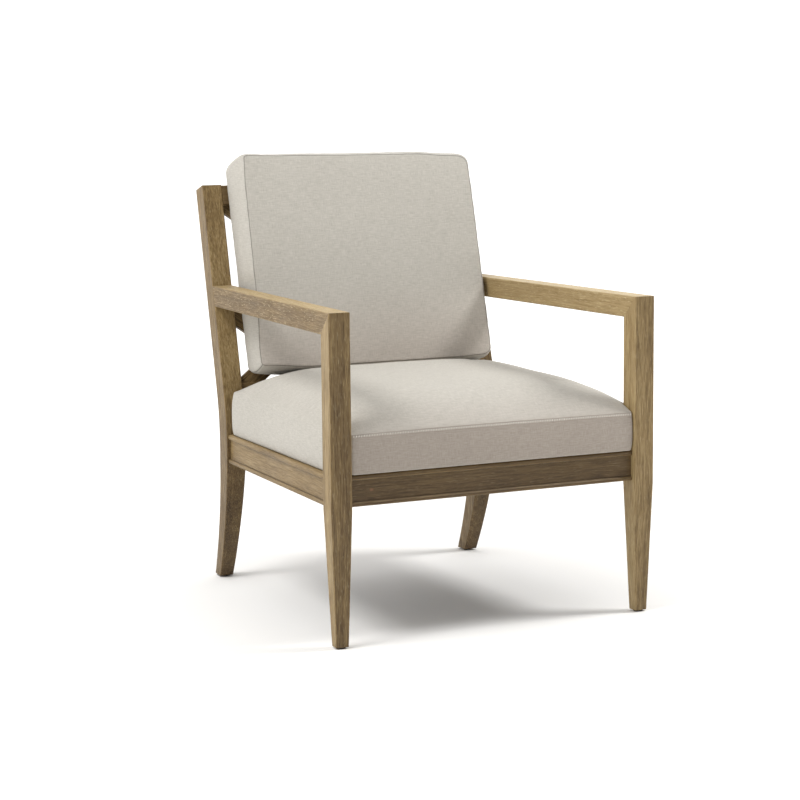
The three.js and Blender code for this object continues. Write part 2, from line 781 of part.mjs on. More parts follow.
// ventilation holes in the seat board
for (const [x, y] of [
  [-150, 170],
  [0, 170],
  [150, 170],
  [-150, 310],
  [0, 310],
  [150, 310],
  [-140, 450],
  [0, 450],
  [140, 450],
])
  seatPanel = seatPanel.subtract(solid(rod([x, y - Y_MID, 300], [0, 0, 1], 60, 27, 20)));

const glideTool = (u, y, side) =>
  solid(rod(sideToWorld(side)(u, y, 0), [0, 0, 1], 17, 1.9, 10));
const glideSolid = (u, y, side) => {
  const at = sideToWorld(side)(u, y, 0);
  return solid(rod(at, [0, 0, 1], 1, 8.6, 20, 9.6))
    .add(solid(rod([at[0], at[1], 0.9], [0, 0, 1], GLIDE - 0.9, 9.6, 20)))
    .add(solid(rod([at[0], at[1], GLIDE - 0.5], [0, 0, 1], 13, 1.5, 10, 0.6)));
};
const FOOT_FRONT = [
  (FRONT_FOOT.out + STOCK - FRONT_FOOT.in) / 2,
  (FRONT_FOOT.front + POST_DEPTH - FRONT_FOOT.back) / 2,
];
const FOOT_REAR = [
  (REAR_FOOT.out + STOCK - REAR_FOOT.in) / 2,
  (frontCurve(0) + rearCurve(0)) / 2,
];

for (const side of [-1, 1]) {
  const w = word[side];
  const spline = solid(splineGeo(side));
  const splineTool = solid(splineGeo(side, GAP));
  let front = frontLegSolid(side).subtract(splineTool).subtract(glideTool(...FOOT_FRONT, side));
  let rear = rearLegSolid(side).subtract(glideTool(...FOOT_REAR, side));
  for (const tool of [...tenonTools, ...sideTenons(side)]) {
    front = front.subtract(tool);
    rear = rear.subtract(tool);
  }
  for (const tool of slatTools) rear = rear.subtract(tool);
  place(`front_${w}_leg`, front, WOOD);
  place(`rear_${w}_leg`, rear, WOOD);
  place(`${w}_arm`, armSolid(side).subtract(splineTool), WOOD);
  place(`${w}_arm_mitre_tongue`, spline, INNER_WOOD);
  let rail = sideRail(side);
  for (const tool of railTools[String(side)]) rail = rail.subtract(tool);
  place(`${w}_seat_rail`, rail, WOOD);
  place(`front_${w}_glide`, glideSolid(...FOOT_FRONT, side), GLIDE_PLASTIC);
  place(`rear_${w}_glide`, glideSolid(...FOOT_REAR, side), GLIDE_PLASTIC);
}
place("front_seat_rail", railTools.front.reduce((s, t) => s.subtract(t), frontRailSolid), WOOD);
place("rear_seat_rail", railTools.rear.reduce((s, t) => s.subtract(t), rearRailSolid), WOOD);
place("top_back_rail", topRail, WOOD);
place("lower_back_rail", lowRail, WOOD);
for (const [name, s] of Object.entries(slatPieces)) place(name, s, WOOD);
for (const [name, s] of Object.entries(blocks)) place(name, s, INNER_WOOD);
for (const [name, s] of Object.entries(screws)) place(name, s, STEEL);
place("seat_board", seatPanel, INNER_WOOD);
place("seat_dust_cover", dustCover, BLACK_CLOTH);
place("seat_upholstery", seatSolid(), FABRIC);
place("back_cushion", backCushionSolid(), FABRIC);
place("back_cushion_zip", zipSolid(), STEEL);

export default group;
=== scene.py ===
"""Looks of a wooden fireside chair with an upholstered seat and a loose back cushion."""

import math
import random

import bmesh
import bpy
from mathutils import Matrix, Vector, noise
from mathutils.bvhtree import BVHTree
from mathutils.kdtree import KDTree


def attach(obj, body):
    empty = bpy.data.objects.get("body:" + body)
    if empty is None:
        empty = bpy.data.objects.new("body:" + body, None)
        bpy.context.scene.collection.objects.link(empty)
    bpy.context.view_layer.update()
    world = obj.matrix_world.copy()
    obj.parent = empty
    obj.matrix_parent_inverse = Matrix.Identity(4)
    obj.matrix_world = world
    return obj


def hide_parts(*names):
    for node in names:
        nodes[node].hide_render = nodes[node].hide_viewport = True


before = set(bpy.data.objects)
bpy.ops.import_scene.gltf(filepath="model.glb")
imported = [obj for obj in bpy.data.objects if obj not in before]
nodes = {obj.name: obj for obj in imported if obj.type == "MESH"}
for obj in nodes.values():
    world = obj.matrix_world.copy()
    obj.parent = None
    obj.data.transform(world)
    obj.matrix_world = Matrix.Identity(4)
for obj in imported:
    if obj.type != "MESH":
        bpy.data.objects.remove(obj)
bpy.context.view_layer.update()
scene = bpy.context.scene

# ------------------------------------------------------------------ the chair's dimensions (mm)
HALF, SPLAY, Y_MID = 343.0, 0.0424, 388.0
STOCK, POST_DEPTH = 42.4, 42.2
RAIL_TOP, RAIL_FALL = 323.0, 0.006
LEAN = 0.272
ANGLE = math.atan(LEAN)
COS, SIN = math.cos(ANGLE), math.sin(ANGLE)
KNEE_T = 0.136 / 0.001267
BACK_Z = 315.0
BACK_Y = 601 - 0.136 * KNEE_T + LEAN * (BACK_Z - 300)


def rail_top(y):
    return RAIL_TOP - RAIL_FALL * (y - 20)


def across(x, y, z):
    """Chair coordinates in mm (y from the front of the posts) to the frame in metres."""
    return Vector((x / 1000, (y - Y_MID) / 1000, z / 1000))


def on_back(x, s, d):
    """Along the leaning back: x, s up the slope, d behind its front face."""
    return across(x, BACK_Y + s * SIN + d * COS, BACK_Z + s * COS - d * SIN)


# ------------------------------------------------------------------ node helpers
class Tree:
    """Short calls for building a node tree."""

    def __init__(self, name):
        self.material = bpy.data.materials.new(name)
        self.material.use_nodes = True
        self.t = self.material.node_tree
        self.t.nodes.clear()
        self.out = self.t.nodes.new("ShaderNodeOutputMaterial")
        self.bsdf = self.t.nodes.new("ShaderNodeBsdfPrincipled")
        self.link(self.bsdf.outputs[0], self.out.inputs[0])

    def link(self, a, b):
        self.t.links.new(a, b)

    def put(self, socket, value):
        if hasattr(value, "is_output"):
            self.link(value, socket)
        elif value is not None:
            socket.default_value = value

    def coords(self):
        return self.t.nodes.new("ShaderNodeTexCoord").outputs["Object"]

    def mapping(self, vector, location=(0, 0, 0), rotation=(0, 0, 0), scale=(1, 1, 1)):
        n = self.t.nodes.new("ShaderNodeMapping")
        n.inputs["Location"].default_value = location
        n.inputs["Rotation"].default_value = rotation
        n.inputs["Scale"].default_value = scale
        self.link(vector, n.inputs["Vector"])
        return n.outputs[0]

    def noise(self, vector, scale=1.0, detail=2.0, rough=0.5, distortion=0.0, color=False):
        n = self.t.nodes.new("ShaderNodeTexNoise")
        n.inputs["Scale"].default_value = scale
        n.inputs["Detail"].default_value = detail
        n.inputs["Roughness"].default_value = rough
        n.inputs["Distortion"].default_value = distortion
        self.link(vector, n.inputs["Vector"])
        return n.outputs["Color" if color else "Fac"]

    def wave(self, vector, scale, axis="X", distortion=0.0, detail_scale=1.0, profile="SIN"):
        n = self.t.nodes.new("ShaderNodeTexWave")
        n.bands_direction = axis
        n.wave_profile = profile
        n.inputs["Scale"].default_value = scale
        n.inputs["Distortion"].default_value = distortion
        n.inputs["Detail"].default_value = 1.0
        n.inputs["Detail Scale"].default_value = detail_scale
        self.link(vector, n.inputs["Vector"])
        return n.outputs["Fac"]

    def math(self, op, a, b=None, c=None, clamp=False):
        n = self.t.nodes.new("ShaderNodeMath")
        n.operation = op
        n.use_clamp = clamp
        for i, v in enumerate((a, b, c)):
            if v is not None:
                self.put(n.inputs[i], v)
        return n.outputs[0]

    def vmath(self, op, a, b=None):
        n = self.t.nodes.new("ShaderNodeVectorMath")
        n.operation = op
        self.put(n.inputs[0], a)
        if b is not None:
            self.put(n.inputs[1], b)
        return n.outputs["Value" if op in ("DOT_PRODUCT", "LENGTH") else "Vector"]

    def split(self, vector):
        n = self.t.nodes.new("ShaderNodeSeparateXYZ")
        self.link(vector, n.inputs[0])
        return n.outputs

    def join(self, x, y, z):
        n = self.t.nodes.new("ShaderNodeCombineXYZ")
        for i, v in enumerate((x, y, z)):
            self.put(n.inputs[i], v)
        return n.outputs[0]

    def ramp(self, fac, stops, mode="LINEAR"):
        n = self.t.nodes.new("ShaderNodeValToRGB")
        n.color_ramp.interpolation = mode
        e = n.color_ramp.elements
        while len(e) > 1:
            e.remove(e[-1])
        e[0].position, e[0].color = stops[0][0], stops[0][1]
        for p, c in stops[1:]:
            s = e.new(p)
            s.color = c
        self.link(fac, n.inputs[0])
        return n.outputs[0]

    def remap(self, v, a, b, c, d, smooth=False):
        n = self.t.nodes.new("ShaderNodeMapRange")
        if smooth:
            n.interpolation_type = "SMOOTHSTEP"
        self.put(n.inputs["Value"], v)
        for k, x in (("From Min", a), ("From Max", b), ("To Min", c), ("To Max", d)):
            n.inputs[k].default_value = x
        return n.outputs[0]

    def mix(self, fac, a, b, mode="MIX"):
        n = self.t.nodes.new("ShaderNodeMix")
        n.data_type = "RGBA"
        n.blend_type = mode
        self.put(n.inputs[0], fac)
        self.put(n.inputs[6], a)
        self.put(n.inputs[7], b)
        return n.outputs[2]

    def bump(self, height, strength=0.5, distance=0.001, normal=None):
        n = self.t.nodes.new("ShaderNodeBump")
        n.inputs["Strength"].default_value = strength
        n.inputs["Distance"].default_value = distance
        self.link(height, n.inputs["Height"])
        if normal is not None:
            self.link(normal, n.inputs["Normal"])
        return n.outputs[0]


def srgb(r, g, b):
    def f(v):
        v /= 255
        return v / 12.92 if v <= 0.04045 else ((v + 0.055) / 1.055) ** 2.4

    return (f(r), f(g), f(b), 1.0)


# ------------------------------------------------------------------ materials
def lin(r, g, b):
    return (r, g, b, 1.0)


BROWN = [
    (0.0, lin(0.062, 0.036, 0.014)),
    (0.28, lin(0.132, 0.083, 0.033)),
    (0.52, lin(0.240, 0.162, 0.069)),
    (0.76, lin(0.362, 0.264, 0.128)),
    (1.0, lin(0.500, 0.390, 0.218)),
]
SAWN = [
    (0.0, lin(0.22, 0.14, 0.065)),
    (0.4, lin(0.40, 0.275, 0.14)),
    (0.75, lin(0.55, 0.41, 0.23)),
    (1.0, lin(0.68, 0.54, 0.34)),
]


REAR_TONE = 0.38


def wood(name, along, seed, level=0.55, front=0.0, side=0.0, top=0.0, flecks=0.35, rough=0.5, palette=None, knot=None, quirks=(), sink=(0.0, 0.0, 0.0), grain=1.0):
    """Brushed, open-grained timber. along is the grain's direction; front, side and top paint light and shade onto
    those faces.
    Faces to the rear all take the same tone."""
    m = Tree(name)
    rng = random.Random(seed)
    e = Vector(along).normalized().rotation_difference(Vector((1, 0, 0))).to_euler("XYZ")
    offset = tuple(rng.uniform(-3, 3) for _ in range(3))
    p = m.coords()
    base = m.mapping(m.mapping(p, rotation=tuple(e)), location=offset)
    # the fibres wander a little
    wander = m.noise(m.mapping(base, scale=(3.2, 9, 9)), 1.0, 2, color=True)
    wander = m.vmath("MULTIPLY", m.vmath("SUBTRACT", wander, (0.5, 0.5, 0.5)), (0.0, 0.012, 0.012))
    v = m.vmath("ADD", base, wander)

    def layer(scale, detail, rough_, amount):
        n = m.noise(m.mapping(v, scale=scale), 1.0, detail, rough_)
        return n, m.math("MULTIPLY", m.math("SUBTRACT", n, 0.5), amount * grain)

    bands, t_bands = layer((1.5, 40, 40), 2, 0.5, 0.42)
    streak, t_streak = layer((7, 190, 190), 2, 0.55, 0.42)
    thin, t_thin = layer((22, 520, 520), 2, 0.6, 0.95)
    fine, t_fine = layer((60, 1500, 1500), 1, 0.5, 0.45)
    cloud = m.noise(m.mapping(base, scale=(6, 13, 13)), 1.0, 2)
    t = m.math("ADD", m.math("ADD", t_bands, t_streak), m.math("ADD", t_thin, t_fine))
    t = m.math("ADD", t, m.math("MULTIPLY", m.math("SUBTRACT", cloud, 0.5), 0.28))
    n3 = m.split(m.t.nodes.new("ShaderNodeTexCoord").outputs["Normal"])
    # painted light and shade: front, side and top faces are shifted in tone by which way they face
    to_front = m.math("POWER", m.math("MAXIMUM", m.math("MULTIPLY", n3[1], -1.0), 0.0), 2)
    to_rear = m.math("POWER", m.math("MAXIMUM", n3[1], 0.0), 2)
    faces = m.math("ADD", m.math("MULTIPLY", to_front, front), m.math("MULTIPLY", to_rear, REAR_TONE - level))
    faces = m.math("ADD", faces, m.math("MULTIPLY", m.math("POWER", n3[0], 2), side))
    faces = m.math("ADD", faces, m.math("MULTIPLY", m.math("POWER", n3[2], 2), top))
    t = m.math("ADD", m.math("ADD", t, faces), level)
    # painted shade: the lower end is darker, its front faces most, and the front faces are a little darker at the top
    # rail's end, where the cushion shades them
    if any(sink):
        shade_dip = m.math("ADD", m.math("MULTIPLY", to_front, sink[1]), sink[0])
        t = m.math("SUBTRACT", t, m.math("MULTIPLY", m.remap(m.split(p)[2], 0.14, 0.46, 1, 0, smooth=True), shade_dip))
        shade_dip = m.math("MULTIPLY", to_front, sink[2])
        t = m.math("SUBTRACT", t, m.math("MULTIPLY", m.remap(m.split(p)[2], 0.68, 0.77, 0, 1, smooth=True), shade_dip))
    # scuffed and darker close to the floor
    low = m.remap(m.split(p)[2], 0.0, 0.03, 0.12, 0.0, smooth=True)
    t = m.math("SUBTRACT", t, m.math("MULTIPLY", low, m.noise(p, 90, 2)), clamp=True)
    color = m.ramp(t, palette or BROWN)
    # pale filler in the open pores, and a few dark ones
    pale = m.noise(m.mapping(v, scale=(75, 760, 760)), 1.0, 1, 0.5)
    pale = m.math("MULTIPLY", m.remap(pale, 0.60, 0.72, 0, 1, smooth=True), flecks)
    color = m.mix(pale, color, lin(0.62, 0.51, 0.31))
    dark = m.noise(m.mapping(v, location=(5, 3, 1), scale=(60, 1050, 1050)), 1.0, 1, 0.5)
    dark = m.remap(dark, 0.62, 0.73, 0, 1, smooth=True)
    color = m.mix(m.math("MULTIPLY", dark, 0.34), color, lin(0.065, 0.040, 0.018))
    for z, fall in quirks:  # painted shade: thin dark lines in the grooves beside the beads
        line = m.math("ADD", m.split(p)[2], m.math("MULTIPLY", m.split(p)[1], fall))
        line = m.math("ABSOLUTE", m.math("SUBTRACT", line, z))
        color = m.mix(m.remap(line, 0.0002, 0.0013, 0.7, 0, smooth=True), color, lin(0.05, 0.033, 0.018))
    if knot:
        centre, size, tone = knot
        q = m.vmath("SUBTRACT", p, centre)
        q = m.vmath("DIVIDE", q, size)
        k = m.remap(m.vmath("LENGTH", q), 0.35, 1.0, 0.85, 0, smooth=True)
        color = m.mix(k, color, tone)
    height = m.math("ADD", m.math("MULTIPLY", thin, 0.6), m.math("MULTIPLY", fine, 0.35))
    height = m.math("SUBTRACT", height, m.math("MULTIPLY", dark, 0.7))
    height = m.math("SUBTRACT", height, m.math("MULTIPLY", pale, 0.5))
    m.put(m.bsdf.inputs["Base Color"], color)
    # handling has worn some places smoother than others
    worn = m.math("MULTIPLY", m.math("SUBTRACT", m.noise(m.mapping(base, scale=(9, 20, 20)), 1.0, 2), 0.5), 0.25)
    m.put(m.bsdf.inputs["Roughness"], m.math("ADD", m.remap(thin, 0.3, 0.7, rough + 0.07, rough - 0.07), worn, clamp=True))
    m.put(m.bsdf.inputs["Normal"], m.bump(height, 0.6, 0.0004))
    m.bsdf.inputs["Specular IOR Level"].default_value = 0.32
    return m.material


def fabric(name, light, dark, pitch=1.15):
    """Plain-woven linen look: crossed threads with slubs, mapped on three sides."""
    m = Tree(name)
    p = m.coords()
    geo = m.t.nodes.new("ShaderNodeTexCoord").outputs["Normal"]
    n3 = m.split(m.vmath("ABSOLUTE", geo))
    wx = m.math("POWER", n3[0], 6)
    wy = m.math("POWER", n3[1], 6)
    wz = m.math("POWER", n3[2], 6)
    total = m.math("ADD", m.math("ADD", wx, wy), wz)
    wx, wy, wz = (m.math("DIVIDE", w, total) for w in (wx, wy, wz))
    k = 1000 / pitch
    s = m.split(p)

    def weave(a, b, salt):
        """Height of a plain weave in the plane of a and b, and its slub colour."""
        # threads wander and vary in thickness
        plane = m.join(a, b, salt)
        bend = m.math("MULTIPLY", m.math("SUBTRACT", m.noise(m.mapping(plane, scale=(60, 60, 60)), 1.0, 2), 0.5), 0.9)
        u = m.math("ADD", m.math("MULTIPLY", a, k * math.pi), bend)
        v = m.math("ADD", m.math("MULTIPLY", b, k * math.pi), bend)
        su = m.math("ABSOLUTE", m.math("SINE", u))
        sv = m.math("ABSOLUTE", m.math("SINE", v))
        parity = m.math("MULTIPLY", m.math("SINE", u), m.math("SINE", v))
        over = m.math("MULTIPLY", m.math("SIGN", parity), 0.5)
        over = m.math("ADD", over, 0.5)
        h = m.math("ADD", m.math("MULTIPLY", over, su), m.math("MULTIPLY", m.math("SUBTRACT", 1.0, over), sv))
        slub_a = m.noise(m.join(m.math("MULTIPLY", a, 70), m.math("MULTIPLY", b, 900), salt), 1.0, 2, 0.6)
        slub_b = m.noise(m.join(m.math("MULTIPLY", a, 900), m.math("MULTIPLY", b, 70), salt + 4.0), 1.0, 2, 0.6)
        slub = m.math("MULTIPLY", m.math("ADD", slub_a, slub_b), 0.5)
        # thicker weft threads, seen from farther off
        broad = m.noise(m.join(m.math("MULTIPLY", a, 42), m.math("MULTIPLY", b, 400), salt + 7.0), 1.0, 2, 0.6)
        return h, m.math("ADD", slub, m.math("MULTIPLY", m.math("SUBTRACT", broad, 0.5), 0.3))

    hx, cx = weave(s[1], s[2], 0.0)
    hy, cy = weave(s[0], s[2], 1.0)
    hz, cz = weave(s[0], s[1], 2.0)

    def blend(a, b, c):
        r = m.math("ADD", m.math("MULTIPLY", a, wx), m.math("MULTIPLY", b, wy))
        return m.math("ADD", r, m.math("MULTIPLY", c, wz))

    h, slub = blend(hx, hy, hz), blend(cx, cy, cz)
    cloud = m.noise(m.mapping(p, scale=(7, 7, 7)), 1.0, 3)
    t = m.math("MULTIPLY", m.remap(slub, 0.355, 0.645, 0, 1), 0.62)
    t = m.math("ADD", t, m.math("MULTIPLY", h, 0.16))
    t = m.math("ADD", t, m.math("MULTIPLY", cloud, 0.22), clamp=True)
    color = m.ramp(t, [(0.1, dark), (0.8, light)])
    # painted shade: the seat's front border is darker, more so toward its left end
    facing = m.math("POWER", n3[1], 2)
    border = m.math("MULTIPLY", m.remap(s[2], 0.394, 0.408, 1, 0, smooth=True), facing)
    shade = m.remap(s[0], -0.33, 0.15, 0.94, 1.0, smooth=True)
    front_border_shade = m.vmath("MULTIPLY", m.vmath("MULTIPLY", color, (0.83, 0.80, 0.78)), m.join(shade, shade, shade))
    color = m.mix(border, color, front_border_shade)
    # painted light: low on the back cushion the front faces take a warm tint standing in for bounced light
    warm_bounce_light = m.math("MULTIPLY", m.remap(s[2], 0.46, 0.66, 1, 0, smooth=True), facing)
    color = m.mix(warm_bounce_light, color, m.vmath("MULTIPLY", color, (1.03, 0.985, 0.98)))
    # painted shade: the seam grooves are darkened through the seam attribute
    seam_shade = m.t.nodes.new("ShaderNodeAttribute")
    seam_shade.attribute_name = "seam"
    seam_shade = m.remap(seam_shade.outputs["Fac"], 0.15, 0.9, 0, 0.72, smooth=True)
    m.put(m.bsdf.inputs["Base Color"], m.mix(seam_shade, color, tuple(c * 0.25 for c in dark[:3]) + (1,)))
    m.bsdf.inputs["Roughness"].default_value = 0.92
    m.bsdf.inputs["Specular IOR Level"].default_value = 0.18
    m.bsdf.inputs["Sheen Weight"].default_value = 0.12
    m.bsdf.inputs["Sheen Roughness"].default_value = 0.55
    bump = m.bump(m.math("ADD", h, m.math("MULTIPLY", slub, 1.6)), 0.38, 0.0003)
    m.put(m.bsdf.inputs["Normal"], bump)
    return m.material


def plain(name, a, b, rough, metal=0.0, scale=300.0, bump=0.1):
    """Moulded plastic, plated metal or thin cloth: two close tones with a fine grain."""
    m = Tree(name)
    p = m.coords()
    n = m.noise(p, scale, 3, 0.6)
    big = m.noise(p, 22, 2)
    m.put(m.bsdf.inputs["Base Color"], m.ramp(m.math("ADD", m.math("MULTIPLY", n, 0.5), m.math("MULTIPLY", big, 0.5)), [(0.35, a), (0.65, b)]))
    m.put(m.bsdf.inputs["Roughness"], m.remap(n, 0.3, 0.7, rough - 0.06, rough + 0.08))
    m.bsdf.inputs["Metallic"].default_value = metal
    m.put(m.bsdf.inputs["Normal"], m.bump(n, bump, 0.0003))
    return m.material


FABRIC = fabric("upholstery_fabric", srgb(189, 185, 176), srgb(162, 157, 148))
STEEL = plain("screw_steel", srgb(150, 148, 143), srgb(190, 188, 182), 0.38, 1.0, 900, 0.15)
PLASTIC = plain("glide_plastic", srgb(38, 34, 30), srgb(52, 47, 42), 0.55, 0.0, 700, 0.2)
ZIP = plain("zip_plastic", srgb(190, 184, 173), srgb(208, 203, 193), 0.6, 0.0, 1500, 0.3)
DUST = plain("dust_cloth", srgb(24, 24, 25), srgb(42, 42, 44), 0.9, 0.0, 1800, 0.6)
THREAD = plain("sewing_thread", srgb(222, 217, 208), srgb(238, 234, 226), 0.8, 0.0, 2500, 0.4)

# ------------------------------------------------------------------ the wooden frame
UP, DEEP, WIDE = (0, 0, 1), (0, 1, 0), (1, 0, 0)


def back_dir(ds, dx):
    """A direction within the leaning back."""
    return tuple(on_back(dx, ds, 0) - on_back(0, 0, 0))


GRAIN = {
    "front_left_leg": UP,
    "front_right_leg": UP,
    "rear_left_leg": (0, 0.14, 1),
    "rear_right_leg": (0, 0.14, 1),
    "left_arm": (SPLAY, 1, 0),
    "right_arm": (-SPLAY, 1, 0),
    "left_seat_rail": (SPLAY, 1, 0),
    "right_seat_rail": (-SPLAY, 1, 0),
    "front_seat_rail": WIDE,
    "rear_seat_rail": WIDE,
    "top_back_rail": WIDE,
    "lower_back_rail": WIDE,
    "back_slat_long_falling": back_dir(-0.745, 1),
    "back_slat_long_rising": back_dir(0.745, 1),
    "back_slat_short_left": back_dir(-0.745, 1),
    "back_slat_short_right": back_dir(0.745, 1),
}


def dress(name, material, bevel=0.0007, segments=2):
    """A carried-over piece: its faces merged, its edges eased, and a material of its own."""
    o = nodes[name]
    o.data.materials.clear()
    o.data.materials.append(material)
    if bevel:
        d = o.modifiers.new("merge_flats", "DECIMATE")
        d.decimate_type = "DISSOLVE"
        d.angle_limit = math.radians(0.6)
        b = o.modifiers.new("eased_edges", "BEVEL")
        b.width = bevel
        b.segments = segments
        b.limit_method = "ANGLE"
        b.angle_limit = math.radians(18)
        b.harden_normals = False
    for p in o.data.polygons:
        p.use_smooth = False
    return o


# tone of each piece: its level, partly the piece's own tone and partly painted light, then the painted light and shade
# on its front, side and top faces
TONE_AND_PAINTED_FACE_LIGHT = {
    "front_left_leg": (0.56, -0.23, 0.0, 0.05),
    "front_right_leg": (0.65, -0.17, 0.0, 0.05),
    "rear_left_leg": (0.34, 0.23, 0.01, 0.0),
    "rear_right_leg": (0.40, -0.08, 0.02, 0.0),
    "left_arm": (0.355, -0.07, 0.0, 0.36),
    "right_arm": (0.67, -0.12, 0.02, 0.18),
    "left_seat_rail": (0.47, 0.0, 0.0, 0.10),
    "right_seat_rail": (0.47, 0.0, 0.0, 0.10),
    "front_seat_rail": (0.38, -0.23, 0.0, 0.10),
    "top_back_rail": (0.50, -0.28, 0.0, 0.0),
}
# painted shade at the rear legs' ends: all faces low down, front faces low down, front faces by the top rail
PAINTED_SHADE_ENDS = {"rear_left_leg": (0.05, 0.37, 0.10), "rear_right_leg": (0.06, 0.06, 0.0)}
# painted shade in the grooves beside the rail beads: height and fall of each line
QUIRKS = ((0.3098, 0.006), (0.26974, 0.0075))
KNOT = ((-0.2557, -0.378, 0.2924), (0.0055, 0.02, 0.0035), lin(0.20, 0.09, 0.045))
for i, (name, along) in enumerate(GRAIN.items()):
    level, front, side, top = TONE_AND_PAINTED_FACE_LIGHT.get(name, (0.44, -0.1, 0.0, 0.05))
    flecks = 0.44 if name.endswith("_arm") else 0.08 if name.endswith("_rail") else 0.2
    material = wood(
        "frame_wood_" + name, along, 11 + i, level, front, side, top, flecks,
        knot=KNOT if name == "front_seat_rail" else None,
        quirks=QUIRKS if name in ("left_seat_rail", "right_seat_rail", "front_seat_rail") else (),
        sink=PAINTED_SHADE_ENDS.get(name, (0.0, 0.0, 0.0)),
        grain=0.55 if name.endswith("_rail") else 0.62 if name.endswith("_arm") else 0.95,
    )
    dress(name, material)
for i, name in enumerate(sorted(n for n in nodes if n.startswith("corner_block"))):
    side = 1 if "left" in name else -1
    dress(name, wood("inner_wood_" + name, (1, side, 0), 71 + i, rough=0.75, palette=SAWN), 0.0004, 1)
dress("left_arm_mitre_tongue", wood("inner_wood_left_tongue", DEEP, 81, rough=0.7, palette=SAWN), 0)
dress("right_arm_mitre_tongue", wood("inner_wood_right_tongue", DEEP, 82, rough=0.7, palette=SAWN), 0)
dress("seat_board", wood("inner_wood_seat_board", WIDE, 83, 0.6, rough=0.75, palette=SAWN), 0)
for name in nodes:
    if name.startswith("corner_screw"):
        dress(name, STEEL, 0)
    elif name.endswith("_glide"):
        dress(name, PLASTIC, 0.0003, 1)
dress("seat_dust_cover", DUST, 0)
dress("back_cushion_zip", ZIP, 0)

# ------------------------------------------------------------------ soft goods
def smooth(t):
    t = min(1.0, max(0.0, t))
    return t * t * (3 - 2 * t)


def table(rows, v):
    """A smooth reading between (v, value) rows."""
    if v <= rows[0][0]:
        return rows[0][1]
    for (a, p), (b, q) in zip(rows, rows[1:]):
        if v <= b:
            return p + (q - p) * smooth((v - a) / (b - a))
    return rows[-1][1]


def build(name, verts, faces, pins, seam_pairs):
    """A closed mesh in metres with a pin group, its sewn edges marked as seams."""
    me = bpy.data.meshes.new(name)
    me.from_pydata([tuple(v) for v in verts], [], faces)
    me.update()
    o = bpy.data.objects.new(name, me)
    scene.collection.objects.link(o)
    pairs = {tuple(sorted(p)) for p in seam_pairs}
    bm = bmesh.new()
    bm.from_mesh(me)
    bmesh.ops.recalc_face_normals(bm, faces=bm.faces)
    for e in bm.edges:
        e.seam = tuple(sorted((e.verts[0].index, e.verts[1].index))) in pairs
    bm.to_mesh(me)
    bm.free()
    g = o.vertex_groups.new(name="pin")
    for i, w in enumerate(pins):
        if w > 0:
            g.add([i], w, "REPLACE")
    me.materials.append(FABRIC)
    return o


def inflate(o, pressure, frames=20, tension=15.0, bending=0.5, shrink=0.0, pin=1.0):
    """Runs the cloth on a closed piece and returns where its points end up."""
    c = o.modifiers.new("inflate", "CLOTH")
    s = c.settings
    s.quality = 5
    s.mass = 0.3
    s.tension_stiffness = s.compression_stiffness = tension
    s.shear_stiffness = tension * 0.4
    s.bending_stiffness = bending
    s.air_damping = 1.0
    s.use_pressure = True
    s.uniform_pressure_force = pressure
    s.effector_weights.gravity = 0
    s.vertex_group_mass = "pin"
    s.pin_stiffness = pin
    s.shrink_min = shrink
    c.collision_settings.use_collision = False
    c.point_cache.frame_start = 1
    c.point_cache.frame_end = frames
    for f in range(1, frames + 1):
        scene.frame_set(f)
    ev = o.evaluated_get(bpy.context.evaluated_depsgraph_get())
    out = [v.co.copy() for v in ev.data.vertices]
    o.modifiers.remove(c)
    scene.frame_set(1)
    return out


def settle(o, start, after, caps, limit=None):
    """Moves the points to where the cloth took them, at most their cap, and keeps them in their space."""
    for v, a, b, cap in zip(o.data.vertices, start, after, caps):
        d = b - a
        if d.length > cap:
            d *= cap / d.length
        p = a + d
        v.co = limit(p) if limit else p
    o.data.update()


def pucker(o, amount, reach, pitch):
    """Small gathers that run out from the sewn edges, as a thread pulls the cloth in."""
    me = o.data
    ends = sorted({v for e in me.edges if e.use_seam for v in e.vertices})
    tree = KDTree(len(ends))
    for i, v in enumerate(ends):
        tree.insert(me.vertices[v].co, i)
    tree.balance()
    moves = []
    for v in me.vertices:
        near = tree.find_n(v.co, 2)
        d = near[0][2]
        at = near[0][0].lerp(near[1][0], near[0][2] / max(1e-9, near[0][2] + near[1][2]))
        if d > reach * 2.5:
            moves.append(None)
            continue
        gather = noise.noise(at / pitch) * 0.75 + noise.noise(at / pitch * 2.3 + Vector((7, 1, 4))) * 0.25
        far = noise.noise(at / (pitch * 6) + Vector((2, 9, 5)))
        fall = math.exp(-((d / (reach * (1 + 0.5 * far))) ** 2)) * min(1.0, d / 0.003)
        moves.append(v.normal * (gather - 0.25) * amount * fall)
    for v, d in zip(me.vertices, moves):
        if d:
            v.co += d
    me.update()


def sew(o, width, depth, shade=1.0):
    """Draws the sewn edges in: a narrow groove between two soft lips, marked for the material to paint shade into."""
    bm = bmesh.new()
    bm.from_mesh(o.data)
    bm.normal_update()
    ret = bmesh.ops.bevel(
        bm,
        geom=[e for e in bm.edges if e.seam],
        offset=width / 2,
        offset_type="OFFSET",
        segments=2,
        profile=0.5,
        affect="EDGES",
        clamp_overlap=True,
    )
    strip = set(ret["faces"])
    bm.normal_update()
    seam_shade_mark = bm.verts.layers.float.new("seam")
    mids = []
    for f in strip:
        for v in f.verts:
            v[seam_shade_mark] = 0.25
            if all(g in strip for g in v.link_faces):
                mids.append(v)
    for v in set(mids):
        v[seam_shade_mark] = shade
        v.co -= v.normal * depth
    for f in bm.faces:
        f.smooth = True
    bm.to_mesh(o.data)
    bm.free()
    sub = o.modifiers.new("smooth", "SUBSURF")
    sub.levels = sub.render_levels = 1


